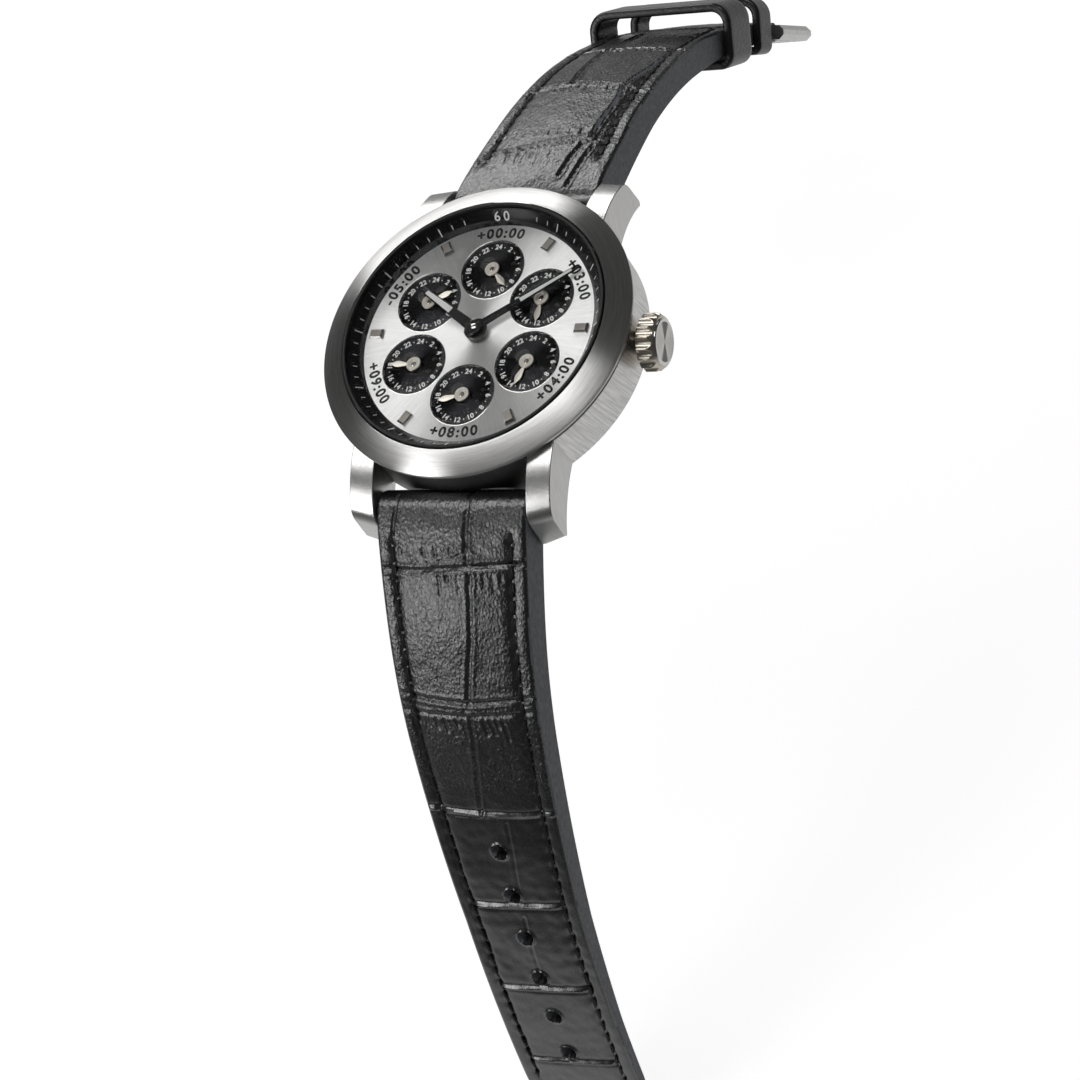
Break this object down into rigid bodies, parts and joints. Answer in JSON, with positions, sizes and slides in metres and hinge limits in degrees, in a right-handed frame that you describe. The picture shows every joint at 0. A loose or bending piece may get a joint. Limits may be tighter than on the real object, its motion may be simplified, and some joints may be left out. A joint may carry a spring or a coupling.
{
  "type": "world time wristwatch",
  "caption": "Steel wristwatch with a silver dial, six black 24-hour zone dials driven by one gear train, fluted crown and padded black leather strap with pin buckle.",
  "frame": {"origin": "centre of the flat face of the case back", "axes": "+Z the dial's normal, away from the wrist; +X to 3 o'clock and the crown; +Y to 12 o'clock"},
  "size_m": [0.0472, 0.1707, 0.0888],
  "materials": {
    "steel_satin": "satin brushed stainless steel",
    "steel_polished": "polished steel",
    "crystal": "clear sapphire",
    "gasket": "black rubber",
    "flange_black": "satin black with white ticks",
    "dial_silver": "silver sunray",
    "zone_black": "black with concentric grooves",
    "hand_black": "gloss black with white inserts",
    "hand_silver": "polished warm silver",
    "brass": "machined brass",
    "plate": "plated brass",
    "leather": "black embossed leather, semi-gloss",
    "lining": "smooth black lining leather"
  },
  "bodies": {
    "case": {"case_middle": "steel_satin", "case_tube": "steel_satin", "case_back": "steel_satin", "case_back_gasket": "gasket", "bezel": "steel_satin", "crystal": "crystal", "crystal_gasket": "gasket", "flange_ring": "flange_black", "dial_plate": "dial_silver", "hour_markers": "steel_polished", "train_bridge": "plate", "bridge_screws": "steel_polished", "main_plate": "plate", "movement_block": "plate", "movement_holder": "plate", "spring_bar_12": "steel_satin", "spring_bar_6": "steel_satin", "zone_dial_02": "zone_black", "zone_dial_04": "zone_black", "zone_dial_06": "zone_black", "zone_dial_08": "zone_black", "zone_dial_10": "zone_black", "zone_dial_12": "zone_black"},
    "hour": {"hour_hand": "hand_black", "hour_wheel": "brass", "zone_drive_pinion": "brass"},
    "minute": {"minute_hand": "hand_black", "cannon_pinion": "steel_polished"},
    "minute_wheel": {"minute_wheel": "brass"},
    "setting_lever": {"setting_lever": "steel_polished"},
    "crown": {"crown": "steel_polished", "crown_seal": "gasket", "winding_stem": "steel_polished"},
    "strap_12": {"strap_12_leather": "leather", "strap_12_lining": "lining", "fixed_keeper": "leather", "buckle_bar": "steel_satin"},
    "strap_6": {"strap_6_leather": "leather", "strap_6_lining": "lining"},
    "free_keeper": {"free_keeper": "leather"},
    "buckle": {"buckle_frame": "steel_satin"},
    "tang": {"buckle_tang": "steel_polished"},
    "zone_02": {"zone_hand_02": "hand_silver", "zone_wheel_02": "brass"},
    "idler_02": {"idler_02": "brass"},
    "zone_04": {"zone_hand_04": "hand_silver", "zone_wheel_04": "brass"},
    "idler_04": {"idler_04": "brass"},
    "zone_06": {"zone_hand_06": "hand_silver", "zone_wheel_06": "brass"},
    "idler_06": {"idler_06": "brass"},
    "zone_08": {"zone_hand_08": "hand_silver", "zone_wheel_08": "brass"},
    "idler_08": {"idler_08": "brass"},
    "zone_10": {"zone_hand_10": "hand_silver", "zone_wheel_10": "brass"},
    "idler_10": {"idler_10": "brass"},
    "zone_12": {"zone_hand_12": "hand_silver", "zone_wheel_12": "brass"},
    "idler_12": {"idler_12": "brass"}
  },
  "joints": [
    {"name": "hour_hand_turn", "type": "hinge", "parent": "case", "child": "hour", "pos_m": [0, 0, 0.0085], "axis": [0, 0, -1], "continuous": true},
    {"name": "minute_hand_turn", "type": "hinge", "parent": "case", "child": "minute", "pos_m": [0, 0, 0.0085], "axis": [0, 0, -1], "continuous": true},
    {"name": "minute_wheel_turn", "type": "hinge", "parent": "case", "child": "minute_wheel", "pos_m": [0, -0.003, 0.0072], "axis": [0, 0, -1], "continuous": true},
    {"name": "zone_02_turn", "type": "hinge", "parent": "case", "child": "zone_02", "pos_m": [0.00824, 0.00476, 0.0085], "axis": [0, 0, -1], "continuous": true},
    {"name": "idler_02_turn", "type": "hinge", "parent": "case", "child": "idler_02", "pos_m": [0.00317, 0.00183, 0.0085], "axis": [0, 0, -1], "continuous": true},
    {"name": "zone_04_turn", "type": "hinge", "parent": "case", "child": "zone_04", "pos_m": [0.00824, -0.00476, 0.0085], "axis": [0, 0, -1], "continuous": true},
    {"name": "idler_04_turn", "type": "hinge", "parent": "case", "child": "idler_04", "pos_m": [0.00317, -0.00183, 0.0085], "axis": [0, 0, -1], "continuous": true},
    {"name": "zone_06_turn", "type": "hinge", "parent": "case", "child": "zone_06", "pos_m": [0, -0.00952, 0.0085], "axis": [0, 0, -1], "continuous": true},
    {"name": "idler_06_turn", "type": "hinge", "parent": "case", "child": "idler_06", "pos_m": [0, -0.00366, 0.0085], "axis": [0, 0, -1], "continuous": true},
    {"name": "zone_08_turn", "type": "hinge", "parent": "case", "child": "zone_08", "pos_m": [-0.00824, -0.00476, 0.0085], "axis": [0, 0, -1], "continuous": true},
    {"name": "idler_08_turn", "type": "hinge", "parent": "case", "child": "idler_08", "pos_m": [-0.00317, -0.00183, 0.0085], "axis": [0, 0, -1], "continuous": true},
    {"name": "zone_10_turn", "type": "hinge", "parent": "case", "child": "zone_10", "pos_m": [-0.00824, 0.00476, 0.0085], "axis": [0, 0, -1], "continuous": true},
    {"name": "idler_10_turn", "type": "hinge", "parent": "case", "child": "idler_10", "pos_m": [-0.00317, 0.00183, 0.0085], "axis": [0, 0, -1], "continuous": true},
    {"name": "zone_12_turn", "type": "hinge", "parent": "case", "child": "zone_12", "pos_m": [0, 0.00952, 0.0085], "axis": [0, 0, -1], "continuous": true},
    {"name": "idler_12_turn", "type": "hinge", "parent": "case", "child": "idler_12", "pos_m": [0, 0.00366, 0.0085], "axis": [0, 0, -1], "continuous": true},
    {"name": "crown_pull", "type": "slide", "parent": "case", "child": "setting_lever", "axis": [1, 0, 0], "range_m": [0, 0.0012]},
    {"name": "crown_turn", "type": "hinge", "parent": "setting_lever", "child": "crown", "pos_m": [0.024, 0, 0.0056], "axis": [1, 0, 0], "continuous": true},
    {"name": "strap_12_swing", "type": "hinge", "parent": "case", "child": "strap_12", "pos_m": [0, 0.0233, 0.0031], "axis": [1, 0, 0], "range_deg": [-35, 35]},
    {"name": "strap_6_swing", "type": "hinge", "parent": "case", "child": "strap_6", "pos_m": [0, -0.0233, 0.0031], "axis": [-1, 0, 0], "range_deg": [-35, 35]},
    {"name": "free_keeper_slide", "type": "slide", "parent": "strap_12", "child": "free_keeper", "axis": [0, 0.6698, -0.7425], "range_m": [-0.0025, 0.0025]},
    {"name": "buckle_swing", "type": "hinge", "parent": "strap_12", "child": "buckle", "pos_m": [0, 0.08308, -0.04067], "axis": [1, 0, 0], "range_deg": [-45, 30]},
    {"name": "tang_swing", "type": "hinge", "parent": "buckle", "child": "tang", "pos_m": [0, 0.08308, -0.04067], "axis": [1, 0, 0], "range_deg": [0, 65]}
  ],
  "couplings": [
    {"joint": "minute_hand_turn", "follows": "hour_hand_turn", "ratio": 12},
    {"joint": "minute_wheel_turn", "follows": "hour_hand_turn", "ratio": -4},
    {"joint": "zone_02_turn", "follows": "hour_hand_turn", "ratio": 0.5},
    {"joint": "idler_02_turn", "follows": "hour_hand_turn", "ratio": -1.5},
    {"joint": "zone_04_turn", "follows": "hour_hand_turn", "ratio": 0.5},
    {"joint": "idler_04_turn", "follows": "hour_hand_turn", "ratio": -1.5},
    {"joint": "zone_06_turn", "follows": "hour_hand_turn", "ratio": 0.5},
    {"joint": "idler_06_turn", "follows": "hour_hand_turn", "ratio": -1.5},
    {"joint": "zone_08_turn", "follows": "hour_hand_turn", "ratio": 0.5},
    {"joint": "idler_08_turn", "follows": "hour_hand_turn", "ratio": -1.5},
    {"joint": "zone_10_turn", "follows": "hour_hand_turn", "ratio": 0.5},
    {"joint": "idler_10_turn", "follows": "hour_hand_turn", "ratio": -1.5},
    {"joint": "zone_12_turn", "follows": "hour_hand_turn", "ratio": 0.5},
    {"joint": "idler_12_turn", "follows": "hour_hand_turn", "ratio": -1.5}
  ]
}
